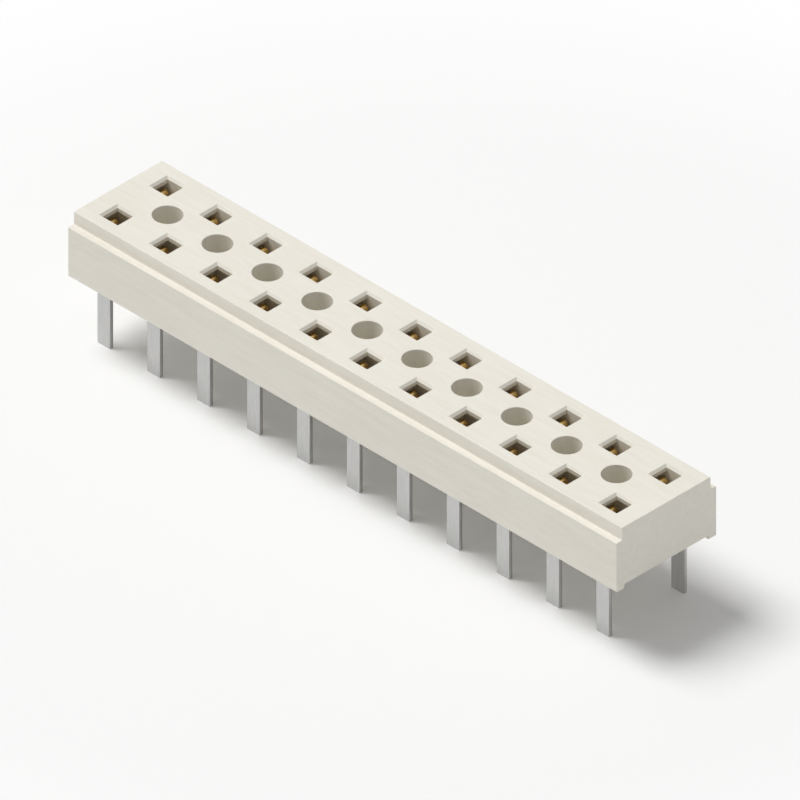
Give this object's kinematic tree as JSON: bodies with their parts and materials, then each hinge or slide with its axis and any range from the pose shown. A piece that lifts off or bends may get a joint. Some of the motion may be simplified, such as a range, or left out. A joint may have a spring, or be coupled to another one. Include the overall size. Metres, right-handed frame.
{
  "type": "printed circuit board socket",
  "caption": "Low two-row board socket: a moulded block with square post openings over formed spring contacts, and flat solder tails for plated through holes.",
  "frame": {"origin": "middle of the contact grid, on the plane where the rails stand on the board", "axes": "+X along the rows, +Y across them, +Z out of the board towards the post openings"},
  "size_m": [0.028, 0.005, 0.0054],
  "materials": {
    "housing_plastic": "natural ivory glass-filled moulding, matte with a fine mould texture",
    "contact_metal": "phosphor bronze strip, gold on the spring beams and matte tin on the solder tails"
  },
  "bodies": {
    "root": {"housing": "housing_plastic", "contact_front_01": "contact_metal", "contact_front_02": "contact_metal", "contact_front_03": "contact_metal", "contact_front_04": "contact_metal", "contact_front_05": "contact_metal", "contact_front_06": "contact_metal", "contact_front_07": "contact_metal", "contact_front_08": "contact_metal", "contact_front_09": "contact_metal", "contact_front_10": "contact_metal", "contact_front_11": "contact_metal", "contact_back_01": "contact_metal", "contact_back_02": "contact_metal", "contact_back_03": "contact_metal", "contact_back_04": "contact_metal", "contact_back_05": "contact_metal", "contact_back_06": "contact_metal", "contact_back_07": "contact_metal", "contact_back_08": "contact_metal", "contact_back_09": "contact_metal", "contact_back_10": "contact_metal", "contact_back_11": "contact_metal"}
  },
  "joints": []
}
